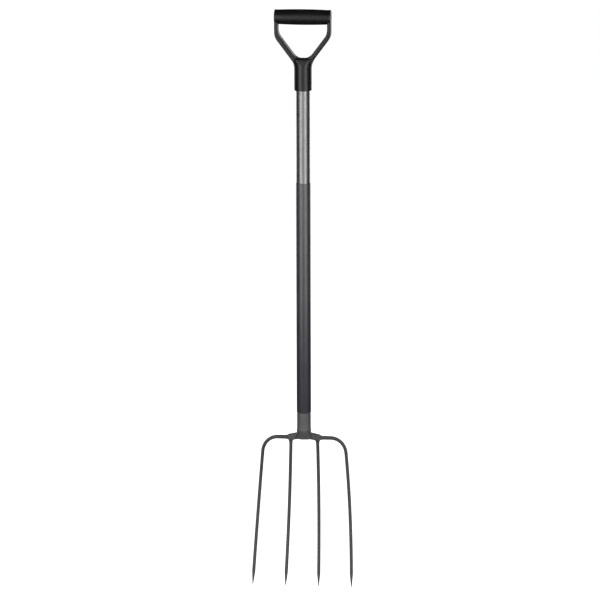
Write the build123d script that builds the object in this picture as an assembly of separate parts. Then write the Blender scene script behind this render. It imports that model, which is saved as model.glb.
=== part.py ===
from build123d import *
import math
import os

# Digging fork with a D-shaped handle. Millimetres, +Z up along the shaft, tines pointing down.
# The origin is on the shaft's axis, halfway up the sleeve, where the lower hand holds the fork.
# The tine points curve forward, towards -Y. The fork is the same on the left and on the right.

# Shaft tube and the sleeve on its lower part
shaft_diameter = 30.0
shaft_wall = 1.5
sleeve_length = 512.0
sleeve_wall = 0.75
sleeve_edge = 0.3
bare_length = 202.0

# Neck tube: its foot stands on the yoke, and its spigot goes up inside the shaft
neck_step = 0.25
neck_length = 41.0
spigot_wall = 3.4
spigot_length = 92.0
spigot_clearance = 0.1
spigot_lead = 1.5

# Cross pins through the shaft and the spigot, hidden under the sleeve
pin_diameter = 5.0
pin_count = 2
pin_spacing = 40.0
first_pin_height = 26.0

# Shoulder yoke: drops are measured down from the neck's foot
yoke_thickness = 14.0
yoke_set_back = 5.0
yoke_top_drop = 8.0
yoke_end_drop = 13.0
yoke_arch_drop = 20.4
yoke_foot_drop = 24.5
yoke_corner = 3.0
yoke_edge = 2.4
boss_height = 20.0
boss_spread = 1.75
boss_reach = 10.8
boss_corner = 6.0
boss_edge = 1.5
boss_inset = 0.6
flare_root_depth = 2.0
plug_length = 12.0
plug_clearance = 0.1

# Tines
tine_root_diameter = 7.3
tine_end_diameter = 6.4
tine_tip_diameter = 1.6
tine_point_length = 30.0
tine_depth = 345.0
tine_socket_depth = 3.0
tine_socket_web = 0.5
inner_flare_length = 6.0
outer_flare_length = 3.0
flare_wall = 0.6
flare_root_inset = 0.6
flare_hollow_across = 0.25
flare_hollow_along = 0.6
tine_lean = 0.07
tine_curve_radius = 690.0
inner_root_spacing = 59.0
inner_tip_spacing = 73.4
outer_root_spacing = 184.5
outer_tip_spacing = 220.0
outer_bow = 2.0
route_steps = 4
inner_even_share = 0.1
outer_even_share = 0.25
outer_bend_radius = 34.0
outer_bar_drop = 18.3

# Welds
neck_bead_radius = 1.3
tine_bead_height = 2.0
tine_bead_width = 0.6
tine_bead_hollow = 0.4

# Handle body: the drop and the rises are measured from the shaft's upper end
socket_wall = 3.9
socket_clearance = 0.1
socket_depth = 52.0
socket_mouth_edge = 0.8
shoulder_foot_drop = 9.0
shoulder_top_rise = 13.0
shoulder_inset = 0.6
handle_width = 121.8
crotch_rise = 16.0
grip_rise = 106.0
arm_slope = 36.8
arm_thickness = 10.6
arm_top_thickness = 8.0
arm_depth = 25.0
arm_edge = 3.0
arm_inner_bend = 30.0
arm_outer_bend = 30.0
crotch_radius = 24.0
cheek_thickness = 5.7
cheek_diameter = 32.0
cheek_edge = 2.0
grip_core_diameter = 22.0

# Handle grip
grip_centre_diameter = 33.5
grip_end_diameter = 31.0

# Handle screw, through the back of the socket into the shaft
screw_height = 26.0
screw_diameter = 4.2
screw_head_diameter = 8.5
screw_head_height = 2.6
screw_head_edge = 0.85
screw_length = 12.0
screw_clearance = 0.1
screw_sink = 0.4
screw_slot_width = 1.2
screw_slot_depth = 1.6

# Worked-out radii and heights
shaft_radius = shaft_diameter / 2
shaft_bore_radius = shaft_radius - shaft_wall
sleeve_radius = shaft_radius + sleeve_wall
neck_radius = shaft_radius + neck_step
spigot_radius = shaft_bore_radius - spigot_clearance
neck_bore_radius = spigot_radius - spigot_wall
socket_radius = shaft_radius + socket_clearance + socket_wall

shaft_foot = -sleeve_length / 2
neck_foot = shaft_foot - neck_length
socket_mouth = sleeve_length / 2 + bare_length
shaft_top = socket_mouth + socket_depth
grip_axis = shaft_top + grip_rise
crotch = shaft_top + crotch_rise
tine_tip = neck_foot - tine_depth

plate_foot = neck_foot - yoke_foot_drop
bar_height = neck_foot - outer_bar_drop
inner_root_side = inner_root_spacing / 2 + tine_root_diameter / 2
bar_start = inner_root_side + tine_socket_web
yoke_half_width = bar_start + tine_socket_depth
inner_flare_foot = plate_foot - inner_flare_length
outer_flare_end = yoke_half_width + outer_flare_length

# The two edges of each sloping arm, carried down to the shaft's axis, meet it at these heights
slope = math.tan(math.radians(arm_slope))
lean = math.sin(math.radians(arm_slope))
inner_vertex = crotch - crotch_radius * (1 / lean - 1)
outer_vertex = inner_vertex - arm_thickness / lean


def tube(outer_radius, inner_radius, bottom, top):
    """A round tube on the shaft's axis."""
    wall = Cylinder(outer_radius, top - bottom) - Cylinder(inner_radius, top - bottom)
    return Pos(0, 0, (bottom + top) / 2) * wall


def rod(radius, bottom, top):
    """A round bar on the shaft's axis."""
    return Pos(0, 0, (bottom + top) / 2) * Cylinder(radius, top - bottom)


def mirrored(shape):
    """The same piece on the other side of the fork."""
    return mirror(shape, about=Plane.YZ)


# ---------------------------------------------------------------- shaft and sleeve

def pin_heights():
    return [shaft_foot + first_pin_height + pin_spacing * step for step in range(pin_count)]


def cross_hole(height):
    """A bar along Y that the pin's hole follows."""
    return Pos(0, 0, height) * Rot(90, 0, 0) * Cylinder(pin_diameter / 2, 4 * neck_radius)


def screw_axis():
    """The screw's axis: it comes out of the back of the socket, towards +Y."""
    return Plane(origin=(0, 0, socket_mouth + screw_height), z_dir=(0, 1, 0))


def screw_bar(radius, start, end):
    return screw_axis() * Pos(0, 0, (start + end) / 2) * Cylinder(radius, end - start)


def make_shaft_tube():
    shaft = tube(shaft_radius, shaft_bore_radius, shaft_foot, shaft_top)
    for height in pin_heights():
        shaft -= cross_hole(height)
    shaft -= screw_bar(screw_diameter / 2, 0, shaft_diameter)
    return shaft


def make_shaft_sleeve():
    sleeve = tube(sleeve_radius, shaft_radius, shaft_foot, sleeve_length / 2)
    rims = sleeve.edges().filter_by(GeomType.CIRCLE)
    outer_rims = [rim for rim in rims if rim.radius > shaft_radius + sleeve_wall / 2]
    return fillet(outer_rims, sleeve_edge)


def make_neck_pins():
    """Both pins are cut flush with the shaft, so that the sleeve slides over them."""
    pins = [cross_hole(height) & rod(shaft_radius, shaft_foot, sleeve_length / 2)
            for height in pin_heights()]
    return Compound(children=pins)


# ---------------------------------------------------------------- neck

def make_boss():
    """The forged root of the yoke: a round seat for the neck and its weld, squarer at the plate."""
    back = yoke_set_back + yoke_thickness / 2 - boss_inset
    width = 2 * (neck_radius + boss_spread)
    foot = RectangleRounded(width, boss_reach + back, boss_corner)
    boss = loft([
        Pos(0, 0, neck_foot) * Circle(neck_radius + neck_bead_radius),
        Pos(0, (back - boss_reach) / 2, neck_foot - boss_height) * foot,
    ])
    return fillet(boss.faces().sort_by(Axis.Z)[0].edges(), boss_edge)


def make_neck_tube():
    spigot_top = shaft_foot + spigot_length
    neck = rod(neck_radius, neck_foot, shaft_foot)
    spigot = rod(spigot_radius, shaft_foot, spigot_top)
    top_rim = spigot.edges().filter_by(GeomType.CIRCLE).sort_by(Axis.Z)[-1]
    neck += chamfer(top_rim, spigot_lead)
    neck -= rod(neck_bore_radius, neck_foot, spigot_top)
    for height in pin_heights():
        neck -= cross_hole(height)
    return neck


def make_neck_weld():
    """A rounded bead that stands on the yoke's seat and lies against the neck."""
    bead = Pos(0, 0, neck_foot) * Torus(neck_radius, neck_bead_radius)
    reach = 2 * neck_bead_radius
    bead -= rod(neck_radius, neck_foot, neck_foot + reach)
    return bead - rod(neck_radius + reach, neck_foot - reach, neck_foot)


# ---------------------------------------------------------------- tines

def tine_set_back(height):
    """How far behind the shaft's axis a tine is: it leans back at first, then curves forward."""
    fall = bar_height - height
    return yoke_set_back + tine_lean * fall - fall ** 2 / (2 * tine_curve_radius)


def inner_half_spacing(height):
    share = (plate_foot - height) / (plate_foot - tine_tip)
    return (inner_root_spacing + (inner_tip_spacing - inner_root_spacing) * share) / 2


def outer_half_spacing(height):
    top = bar_height - outer_bend_radius
    share = (top - height) / (top - tine_tip)
    spread = outer_root_spacing + (outer_tip_spacing - outer_root_spacing) * share
    return spread / 2 + 4 * outer_bow * share * (1 - share)


def tine_point(half_spacing, height):
    return Vector(half_spacing(height), tine_set_back(height), height)


def shank_points(half_spacing, top, foot):
    """Evenly spaced points down a tine, both ends included."""
    drop = (top - foot) / route_steps
    return [tine_point(half_spacing, top - drop * step) for step in range(route_steps + 1)]


def section_on(path, position, diameter):
    """A round section square to the path, at a share of its length."""
    place = Plane(origin=path @ position, z_dir=path % position)
    return place * Circle(diameter / 2)


def tine_solid(path, root_share):
    """A round tine on the path: even up to root_share, then slimmer, with a straight tapered point."""
    sections = [
        section_on(path, 0, tine_root_diameter),
        section_on(path, root_share, tine_root_diameter),
        section_on(path, 1, tine_end_diameter),
    ]
    shank = sweep(sections, path=path, multisection=True)
    end = path @ 1
    way = path % 1
    point = Solid.make_cone(tine_end_diameter / 2, tine_tip_diameter / 2, tine_point_length,
                            Plane(origin=end, z_dir=way))
    return shank + point


def make_inner_tine():
    root = plate_foot + tine_socket_depth
    shank_end = tine_tip + tine_point_length
    points = [tine_point(inner_half_spacing, root)]
    points += shank_points(inner_half_spacing, plate_foot, shank_end)
    return tine_solid(Spline(points), inner_even_share)


def make_outer_tine():
    shoulder = outer_root_spacing / 2 - outer_bend_radius
    bend_foot = bar_height - outer_bend_radius
    diagonal = outer_bend_radius * math.sin(math.radians(45))
    shank_end = tine_tip + tine_point_length
    points = [
        Vector(bar_start, yoke_set_back, bar_height),
        Vector(shoulder, yoke_set_back, bar_height),
        tine_point(lambda height: shoulder + diagonal, bend_foot + diagonal),
    ]
    points += shank_points(outer_half_spacing, bend_foot, shank_end)
    route = Spline(points, tangents=[(1, 0, 0), points[-1] - points[-2]])
    return tine_solid(route, outer_even_share)


# ---------------------------------------------------------------- yoke

def yoke_outline():
    """The yoke's plate seen from the front, X across and Y up, with an arch under it."""
    top = neck_foot - yoke_top_drop
    end_top = neck_foot - yoke_end_drop
    arch = neck_foot - yoke_arch_drop
    foot_reach = tine_root_diameter / 2
    bar_under = bar_height - foot_reach
    right = [
        (neck_radius, top),
        (yoke_half_width, end_top),
        (yoke_half_width, bar_under),
        (inner_root_side, plate_foot),
        (inner_root_side - 2 * foot_reach, plate_foot),
    ]
    left = [(-x, y) for x, y in reversed(right)]
    arch_line = ThreePointArc(right[-1], (0, arch), left[0])
    face = make_face(Polyline(left + right).edges() + arch_line.edges())
    ends = [corner for corner in face.vertices() if abs(corner.X) > bar_start]
    return fillet(ends, yoke_corner)


def flare(foot, way, length, depth):
    """A forged root that widens from a tine's end into the plate: foot is its narrow end."""
    narrow = tine_root_diameter / 2 + flare_wall
    wide = yoke_thickness / 2 - flare_root_inset
    side = Polyline((narrow, 0), (0, 0), (0, length + depth), (wide, length + depth), (wide, length))
    hollow = (narrow + (wide - narrow) * flare_hollow_across, length * flare_hollow_along)
    profile = make_face(side.edges() + ThreePointArc((narrow, 0), hollow, (wide, length)).edges())
    return Plane(origin=foot, z_dir=way) * revolve(Plane.XZ * profile, Axis.Z)


def inner_foot():
    return tine_point(inner_half_spacing, inner_flare_foot)


def outer_foot():
    return Vector(outer_flare_end, yoke_set_back, bar_height)


def make_shoulder_yoke(tines):
    front = Plane(origin=(0, yoke_set_back, 0), x_dir=(1, 0, 0), z_dir=(0, -1, 0))
    plate = extrude(front * yoke_outline(), yoke_thickness / 2, both=True)
    plate = fillet(plate.faces().filter_by(Axis.Y).edges(), yoke_edge)
    plug = rod(neck_bore_radius - plug_clearance, neck_foot, neck_foot + plug_length)
    inner_flare = flare(inner_foot(), (0, 0, 1), inner_flare_length, flare_root_depth)
    outer_flare = flare(outer_foot(), (-1, 0, 0), outer_flare_length, flare_root_depth)
    right = inner_flare + outer_flare
    yoke = plate + make_boss() + plug + right + mirrored(right)
    for tine in tines:
        yoke = yoke - tine - mirrored(tine)
    return yoke


def root_collar(foot, way, tine):
    """A weld fillet round a tine's root: it stands on the flare and thins out along the tine."""
    inner = tine_root_diameter / 2 - tine_bead_width
    outer = tine_root_diameter / 2
    corner = (outer + tine_bead_width, 0)
    tip = (outer, tine_bead_height)
    hollow = (outer + tine_bead_width * tine_bead_hollow, tine_bead_height * tine_bead_hollow)
    side = Polyline(tip, (inner, tine_bead_height), (inner, 0), corner)
    profile = make_face(side.edges() + ThreePointArc(corner, hollow, tip).edges())
    ring = revolve(Plane.XZ * profile, Axis.Z)
    return Plane(origin=foot, z_dir=way) * ring - tine


def make_tine_welds(inner_tine, outer_tine):
    right = [
        root_collar(inner_foot(), (0, 0, -1), inner_tine),
        root_collar(outer_foot(), (1, 0, 0), outer_tine),
    ]
    return Compound(children=right + [mirrored(collar) for collar in right])


# ---------------------------------------------------------------- handle

def arms_outline():
    """The two arms seen from the front: they spread from the socket, then turn upright."""
    outer_half = handle_width / 2
    inner_half = outer_half - arm_top_thickness
    foot_height = shaft_top + socket_wall
    foot_half = (foot_height - outer_vertex) * slope
    outer = FilletPolyline(
        (foot_half, foot_height),
        (outer_half, outer_vertex + outer_half / slope),
        (outer_half, grip_axis),
        radius=arm_outer_bend,
    )
    inner = FilletPolyline(
        (inner_half, grip_axis),
        (inner_half, inner_vertex + inner_half / slope),
        (0, inner_vertex),
        (-inner_half, inner_vertex + inner_half / slope),
        (-inner_half, grip_axis),
        radius=[arm_inner_bend, crotch_radius, arm_inner_bend],
    )
    foot = Line((-foot_half, foot_height), (foot_half, foot_height))
    caps = [Line((side * inner_half, grip_axis), (side * outer_half, grip_axis)) for side in (-1, 1)]
    sides = outer.edges() + mirror(outer, about=Plane.YZ).edges() + inner.edges() + foot.edges()
    return make_face(sides + caps[0].edges() + caps[1].edges())


def along_x(radius, reach):
    """A round bar on the grip's axis."""
    return Pos(0, 0, grip_axis) * Rot(0, 90, 0) * Cylinder(radius, 2 * reach)


def grip_shape():
    """The barrel of the grip, fattest in the middle."""
    reach = handle_width / 2 - cheek_thickness
    end = grip_end_diameter / 2
    barrel = ThreePointArc((-reach, end), (0, grip_centre_diameter / 2), (reach, end))
    sides = Polyline((reach, end), (reach, 0), (-reach, 0), (-reach, end))
    front = Plane(origin=(0, 0, grip_axis), x_dir=(1, 0, 0), z_dir=(0, -1, 0))
    return revolve(front * make_face(barrel.edges() + sides.edges()), Axis((0, 0, grip_axis), (1, 0, 0)))


def make_handle_grip():
    return grip_shape() - along_x(grip_core_diameter / 2, handle_width)


def make_cheeks():
    """The two round ends that hold the grip's bar."""
    bar = along_x(cheek_diameter / 2, handle_width / 2)
    bar = fillet(bar.edges().filter_by(GeomType.CIRCLE), cheek_edge)
    return bar - along_x(cheek_diameter, handle_width / 2 - arm_top_thickness)


def make_socket():
    """The round socket, spreading above the shaft's end into the arms."""
    straight = rod(socket_radius, socket_mouth, shaft_top)
    mouth = straight.edges().filter_by(GeomType.CIRCLE).sort_by(Axis.Z)[0]
    straight = fillet(mouth, socket_mouth_edge)
    shoulder_foot = shaft_top - shoulder_foot_drop
    shoulder_top = shaft_top + shoulder_top_rise
    shoulder_width = 2 * (shoulder_top - outer_vertex) * slope - 2 * shoulder_inset
    shoulder_depth = arm_depth - 2 * shoulder_inset
    shoulder = loft([
        Pos(0, 0, shoulder_foot) * Circle(socket_radius),
        Pos(0, 0, shoulder_top) * RectangleRounded(shoulder_width, shoulder_depth, arm_edge),
    ])
    return straight + shoulder


def make_handle_body():
    front = Plane(origin=(0, 0, 0), x_dir=(1, 0, 0), z_dir=(0, -1, 0))
    arms = extrude(front * arms_outline(), arm_depth / 2, both=True)
    arms = fillet(arms.faces().filter_by(Axis.Y).edges(), arm_edge)
    core = along_x(grip_core_diameter / 2, handle_width / 2 - cheek_edge)
    body = arms + make_cheeks() + make_socket() - grip_shape() + core
    body -= rod(shaft_radius + socket_clearance, socket_mouth, shaft_top)
    head_seat = socket_radius - screw_head_height
    outside = socket_radius + screw_head_height
    body -= screw_bar(screw_diameter / 2 + screw_clearance, 0, outside)
    body -= screw_bar(screw_head_diameter / 2 + screw_clearance, head_seat, outside)
    return body


def make_handle_screw():
    """A pan-head screw, sunk in the back of the socket, that ends inside the shaft."""
    head_seat = socket_radius - screw_head_height
    head = screw_bar(screw_head_diameter / 2, head_seat, socket_radius - screw_sink)
    outer_rim = head.edges().filter_by(GeomType.CIRCLE).sort_by(Axis.Y)[-1]
    head = fillet(outer_rim, screw_head_edge)
    slot_bar = Box(screw_head_diameter, screw_slot_width, 2 * screw_slot_depth)
    slot = screw_axis() * Pos(0, 0, socket_radius) * slot_bar
    return head + screw_bar(screw_diameter / 2, head_seat - screw_length, head_seat) - slot


# ---------------------------------------------------------------- writing the pieces

inner_tine = make_inner_tine()
outer_tine = make_outer_tine()

pieces = {
    "shoulder_yoke": make_shoulder_yoke([inner_tine, outer_tine]),
    "outer_tine_right": outer_tine,
    "outer_tine_left": mirrored(outer_tine),
    "inner_tine_right": inner_tine,
    "inner_tine_left": mirrored(inner_tine),
    "tine_welds": make_tine_welds(inner_tine, outer_tine),
    "neck_tube": make_neck_tube(),
    "neck_weld": make_neck_weld(),
    "neck_pins": make_neck_pins(),
    "shaft_tube": make_shaft_tube(),
    "shaft_sleeve": make_shaft_sleeve(),
    "handle_body": make_handle_body(),
    "handle_grip": make_handle_grip(),
    "handle_screw": make_handle_screw(),
}

os.makedirs("parts", exist_ok=True)
for name, piece in pieces.items():
    export_step(piece, f"parts/{name}.step")
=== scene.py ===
import math

import bpy
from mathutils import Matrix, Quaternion, Vector
from mathutils.geometry import interpolate_bezier


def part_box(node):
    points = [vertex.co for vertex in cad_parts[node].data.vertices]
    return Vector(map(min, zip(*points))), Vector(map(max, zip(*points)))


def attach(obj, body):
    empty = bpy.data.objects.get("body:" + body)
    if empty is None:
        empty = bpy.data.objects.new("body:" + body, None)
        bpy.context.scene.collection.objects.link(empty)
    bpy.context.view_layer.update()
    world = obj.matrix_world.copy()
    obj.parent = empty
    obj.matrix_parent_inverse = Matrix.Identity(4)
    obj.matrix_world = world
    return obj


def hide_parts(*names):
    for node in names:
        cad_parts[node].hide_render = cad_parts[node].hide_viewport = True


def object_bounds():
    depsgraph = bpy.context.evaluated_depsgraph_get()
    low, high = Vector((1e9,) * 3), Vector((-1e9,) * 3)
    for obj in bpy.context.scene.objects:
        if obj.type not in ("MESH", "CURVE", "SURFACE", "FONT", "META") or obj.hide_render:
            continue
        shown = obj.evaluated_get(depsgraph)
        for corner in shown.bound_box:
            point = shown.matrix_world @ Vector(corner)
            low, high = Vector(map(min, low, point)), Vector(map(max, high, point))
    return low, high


# A digging fork with a D handle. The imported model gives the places, in metres, with +Z up the shaft
# and -Y to the front. Lengths below that the model doesn't give are the maker's own sizes.
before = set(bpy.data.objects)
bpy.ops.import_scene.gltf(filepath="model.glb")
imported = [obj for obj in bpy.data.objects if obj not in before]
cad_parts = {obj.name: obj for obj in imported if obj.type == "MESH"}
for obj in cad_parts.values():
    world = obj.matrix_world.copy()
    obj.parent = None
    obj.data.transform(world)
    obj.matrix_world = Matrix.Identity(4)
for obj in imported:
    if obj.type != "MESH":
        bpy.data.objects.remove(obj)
cad_low, cad_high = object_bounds()

mm = 0.001
UP = Vector((0, 0, 1))
RIGHT = Vector((1, 0, 0))
BACK = Vector((0, 1, 0))

# ---------------------------------------------------------------- sizes taken from the model

shaft_low, shaft_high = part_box("shaft_tube")
sleeve_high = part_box("shaft_sleeve")[1]
neck_low, neck_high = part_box("neck_tube")
bead_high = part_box("neck_weld")[1]
collar_low, collar_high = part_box("tine_welds")
handle_low, handle_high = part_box("handle_body")
grip_low, grip_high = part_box("handle_grip")
screw_low, screw_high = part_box("handle_screw")

shaft_radius = shaft_high.x
shaft_foot = shaft_low.z
shaft_top = shaft_high.z
sleeve_radius = sleeve_high.x
sleeve_top = sleeve_high.z
neck_radius = neck_high.x
neck_foot = neck_low.z
spigot_top = neck_high.z
bead_radius = bead_high.x - neck_radius
socket_mouth = handle_low.z
handle_half = handle_high.x
grip_half = grip_high.x
grip_radius = (grip_high.z - grip_low.z) / 2
grip_axis = (grip_high.z + grip_low.z) / 2
screw_axis = (screw_high.z + screw_low.z) / 2
screw_head_radius = screw_high.x

# ---------------------------------------------------------------- the maker's own sizes

fit = 0.1 * mm

shaft_wall = 1.5 * mm
shaft_edge = 0.3 * mm
sleeve_edge = 0.6 * mm
spigot_radius = shaft_radius - shaft_wall - fit
spigot_wall = 3.4 * mm
neck_groove_depth = 0.5 * mm
neck_groove_height = 3.2 * mm
neck_step_rise = 1.0 * mm
hold_ring = 1.2 * mm

# How finely the pieces are modelled
seam_gap = 0.002 * mm
corner_gap = 0.01 * mm
least_turn = 1e-7
soft_corner = math.radians(50)
arm_corner = math.radians(60)
bar_sides = 32
cutter_sides = 48
boss_sides = 64
fine_sides = 96

yoke_thickness = 14 * mm
yoke_set_back = 5 * mm
yoke_top_drop = 8 * mm
yoke_end_drop = 13 * mm
yoke_arch_drop = 21.4 * mm
yoke_foot_drop = 24.5 * mm
yoke_lobe = 3.5 * mm
yoke_arch_power = 4
plate_steps = 44
yoke_edge = 2.2 * mm
boss_height = 20 * mm
boss_spread = 4 * mm
boss_reach = 10.8 * mm
boss_back = 11.4 * mm
boss_edge = 1.5 * mm
flare_end_radius = 6.5 * mm
flare_length = 7.5 * mm
flare_lip = 0.3 * mm
flare_power = 2.2
yoke_grain = 0.5 * mm
yoke_softening = 18
hammer_spacing = 16 * mm
hammer_depth = 0.1 * mm

tine_radius = 3.65 * mm
tine_end_radius = 3.6 * mm
tine_tip_radius = 0.8 * mm
tine_point_length = 30 * mm
tine_fall = 345 * mm
tine_lean = 0.07
tine_curve_radius = 690 * mm
inner_root = 29.5 * mm
inner_tip = 36.7 * mm
outer_root = 92.25 * mm
outer_tip = 109.5 * mm
outer_bow = 2 * mm
outer_bend_radius = 34 * mm
outer_bar_drop = 18.3 * mm
collar_height = 2 * mm
drop_sink = 0.1
neck_drops = 62
neck_bead_grain = 0.3 * mm
neck_bead_softening = 3
tine_drop = 0.95 * mm
inner_drops = 22
outer_drops = 26
tine_bead_grain = 0.25 * mm
tine_bead_softening = 4
bar_root_swell = 0.75 * mm
swell_at_bead = 0.9
root_swell_length = 75 * mm
inner_even_share = 0.1
outer_even_share = 0.25
point_power = 1.15
nose_angles = (30, 60, 85)
arc_pull = 0.56
inner_steps = 56
outer_steps = 48
bend_steps = 20
bar_steps = 6

socket_wall = 4 * mm
socket_radius = shaft_radius + socket_wall
socket_bore = shaft_radius + fit
socket_lip = 0.8 * mm
shoulder_start_drop = 5.5 * mm
shoulder_end_rise = 16.3 * mm
shoulder_growth = 14.5
flat_start_drop = 12 * mm
flat_end_rise = 20 * mm
crotch_rise = 16 * mm
arm_angle = math.radians(36.8)
arm_slope = math.tan(arm_angle)
arm_lean = math.sin(arm_angle)
arm_thickness = 10.6 * mm
arm_top_thickness = 8 * mm
arm_depth = 25 * mm
arm_edge = 2.8 * mm
arm_inner_bend = 30 * mm
arm_outer_bend = 30 * mm
crotch_radius = 24 * mm
arm_foot_rise = 3.9 * mm
cheek_radius = 16 * mm
cheek_edge = 2 * mm
grip_end_radius = 15.5 * mm
grip_edge = 0.5 * mm
screw_seat = 2.6 * mm
mouth_flare = 1.6 * mm
mouth_depth = 0.6 * mm
handle_grain = 0.7 * mm
handle_softening = 5

bar_root_radius = tine_radius + swell_at_bead * bar_root_swell
plate_foot = neck_foot - yoke_foot_drop
plate_half = inner_root + tine_radius + yoke_lobe
bar_height = neck_foot - outer_bar_drop
tine_tip = neck_foot - tine_fall
shank_end = tine_tip + tine_point_length


# ---------------------------------------------------------------- modelling by hand

def deselect_all():
    bpy.ops.object.select_all(action="DESELECT")


def take(piece):
    """Only this piece is selected and active."""
    deselect_all()
    piece.select_set(True)
    bpy.context.view_layer.objects.active = piece


def call(piece, name):
    piece.name = name
    piece.data.name = name


def settle(name):
    """Names the new piece and puts its place into its mesh."""
    piece = bpy.context.active_object
    bpy.ops.object.transform_apply(location=True, rotation=True, scale=True)
    call(piece, name)
    return piece


def edit(piece):
    take(piece)
    bpy.ops.object.mode_set(mode="EDIT")
    bpy.ops.mesh.select_all(action="SELECT")


def leave_edit():
    """Merges what meets, turns every face outwards and goes back to the whole piece."""
    bpy.ops.mesh.select_all(action="SELECT")
    bpy.ops.mesh.remove_doubles(threshold=seam_gap)
    bpy.ops.mesh.normals_make_consistent(inside=False)
    bpy.ops.object.mode_set(mode="OBJECT")


def apply_modifier(piece, kind, **settings):
    take(piece)
    modifier = piece.modifiers.new(kind.lower(), kind)
    for setting, value in settings.items():
        setattr(modifier, setting, value)
    bpy.ops.object.modifier_apply(modifier=modifier.name)


def join(name, pieces):
    """The pieces as one object, their meshes side by side."""
    deselect_all()
    for piece in pieces:
        piece.select_set(True)
    bpy.context.view_layer.objects.active = pieces[0]
    bpy.ops.object.join()
    joined = bpy.context.active_object
    call(joined, name)
    return joined


def fuse(piece, grain, softening):
    """Overlapping shapes become one skin, and the lines where they meet are softened."""
    apply_modifier(piece, "REMESH", mode="VOXEL", voxel_size=grain)
    apply_modifier(piece, "SMOOTH", factor=0.5, iterations=softening)
    take(piece)
    bpy.ops.object.shade_smooth()


def turn_ring(way, next_way, centre):
    """Turns the selected ring from one way to the next about its own centre."""
    axis = way.cross(next_way)
    if axis.length < least_turn:
        return
    turn = axis.normalized() * way.angle(next_way)
    for name, angle in zip("XYZ", turn):
        bpy.ops.transform.rotate(value=-angle, orient_axis=name, center_override=centre)


def pull_ring(places):
    """Pulls the selected ring from place to place. A place is a centre, a way and a radius."""
    centre, way, radius = places[0]
    for next_centre, next_way, next_radius in places[1:]:
        bpy.ops.mesh.extrude_region_move(TRANSFORM_OT_translate={"value": next_centre - centre})
        turn_ring(way, next_way, next_centre)
        share = next_radius / radius
        bpy.ops.transform.resize(value=(share, share, share), center_override=next_centre)
        centre, way, radius = next_centre, next_way, next_radius


def start_ring(name, place, sides, fill):
    centre, way, radius = place
    deselect_all()
    bpy.ops.mesh.primitive_circle_add(vertices=sides, radius=radius, fill_type=fill, location=centre,
                                      rotation=way.to_track_quat("Z", "Y").to_euler())
    return settle(name)


def round_bar(name, places, sides):
    """A solid round bar through the places."""
    bar = start_ring(name, places[0], sides, "NGON")
    edit(bar)
    pull_ring(places)
    leave_edit()
    return bar


def turning(name, outline, sides=fine_sides):
    """A hollow turned piece: the outline of (radius, height) runs up outside and down inside."""
    places = [(UP * height, UP, radius) for radius, height in outline]
    piece = start_ring(name, places[0], sides, "NOTHING")
    edit(piece)
    pull_ring(places + places[:1])
    leave_edit()
    return piece


def quarter_round(radius, height, edge, start, steps=4):
    """Points of a quarter round about (radius, height), from the start angle on."""
    angles = [math.radians(start + 90 * step / steps) for step in range(steps + 1)]
    return [(radius + edge * math.cos(angle), height + edge * math.sin(angle)) for angle in angles]


def shade_by_angle(piece, degrees=35):
    take(piece)
    bpy.ops.object.shade_smooth_by_angle(angle=math.radians(degrees))


def cut(piece, tool):
    """Cuts the tool's shape out of the piece and throws the tool away."""
    apply_modifier(piece, "BOOLEAN", operation="DIFFERENCE", solver="EXACT", object=tool)
    bpy.data.objects.remove(tool)


def weld_to(piece, other):
    apply_modifier(piece, "BOOLEAN", operation="UNION", solver="EXACT", object=other)
    bpy.data.objects.remove(other)


def mirrored_copy(piece, name):
    """The same shape on the other side of the fork, with its own mesh."""
    take(piece)
    bpy.ops.object.duplicate()
    copy = bpy.context.active_object
    bpy.ops.object.mode_set(mode="EDIT")
    bpy.ops.mesh.select_all(action="SELECT")
    bpy.ops.transform.mirror(orient_type="GLOBAL", constraint_axis=(True, False, False),
                             center_override=(0, 0, 0))
    leave_edit()
    call(copy, name)
    return copy


def rounded_line(corners, radii, steps=8):
    """A line through the corners. Each corner between the two ends is an arc of its radius."""
    points = [corners[0]]
    for before, corner, after, radius in zip(corners, corners[1:], corners[2:], radii):
        to_before = (before - corner).normalized()
        to_after = (after - corner).normalized()
        half_angle = to_before.angle(to_after) / 2
        reach = radius / math.tan(half_angle)
        centre = corner + (to_before + to_after).normalized() * radius / math.sin(half_angle)
        start = (corner + to_before * reach - centre).normalized()
        end = (corner + to_after * reach - centre).normalized()
        points += [centre + start.slerp(end, step / steps) * radius for step in range(steps + 1)]
    return points + [corners[-1]]


def finish_piece(piece, nodes, material):
    """The piece stands for its model nodes, rides on the fork and takes its finish."""
    piece.data.materials.clear()
    piece.data.materials.append(material)
    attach(piece, "root")
    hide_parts(*nodes)


# ---------------------------------------------------------------- shaft, sleeve and neck

def make_tube(name, bore, radius, edge, top):
    """A plain tube with rounded ends. It stands where the shaft does."""
    outline = [(bore, shaft_foot)]
    outline += quarter_round(radius - edge, shaft_foot + edge, edge, -90)
    outline += [(radius, shaft_foot + hold_ring), (radius, top - hold_ring)]
    outline += quarter_round(radius - edge, top - edge, edge, 0)
    outline += [(bore, top)]
    tube = turning(name, outline)
    shade_by_angle(tube)
    return tube


def make_shaft():
    return make_tube("shaft_tube_drawn", shaft_radius - shaft_wall, shaft_radius, shaft_edge, shaft_top)


def make_sleeve():
    return make_tube("shaft_sleeve_shrunk", shaft_radius, sleeve_radius, sleeve_edge, sleeve_top)


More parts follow.
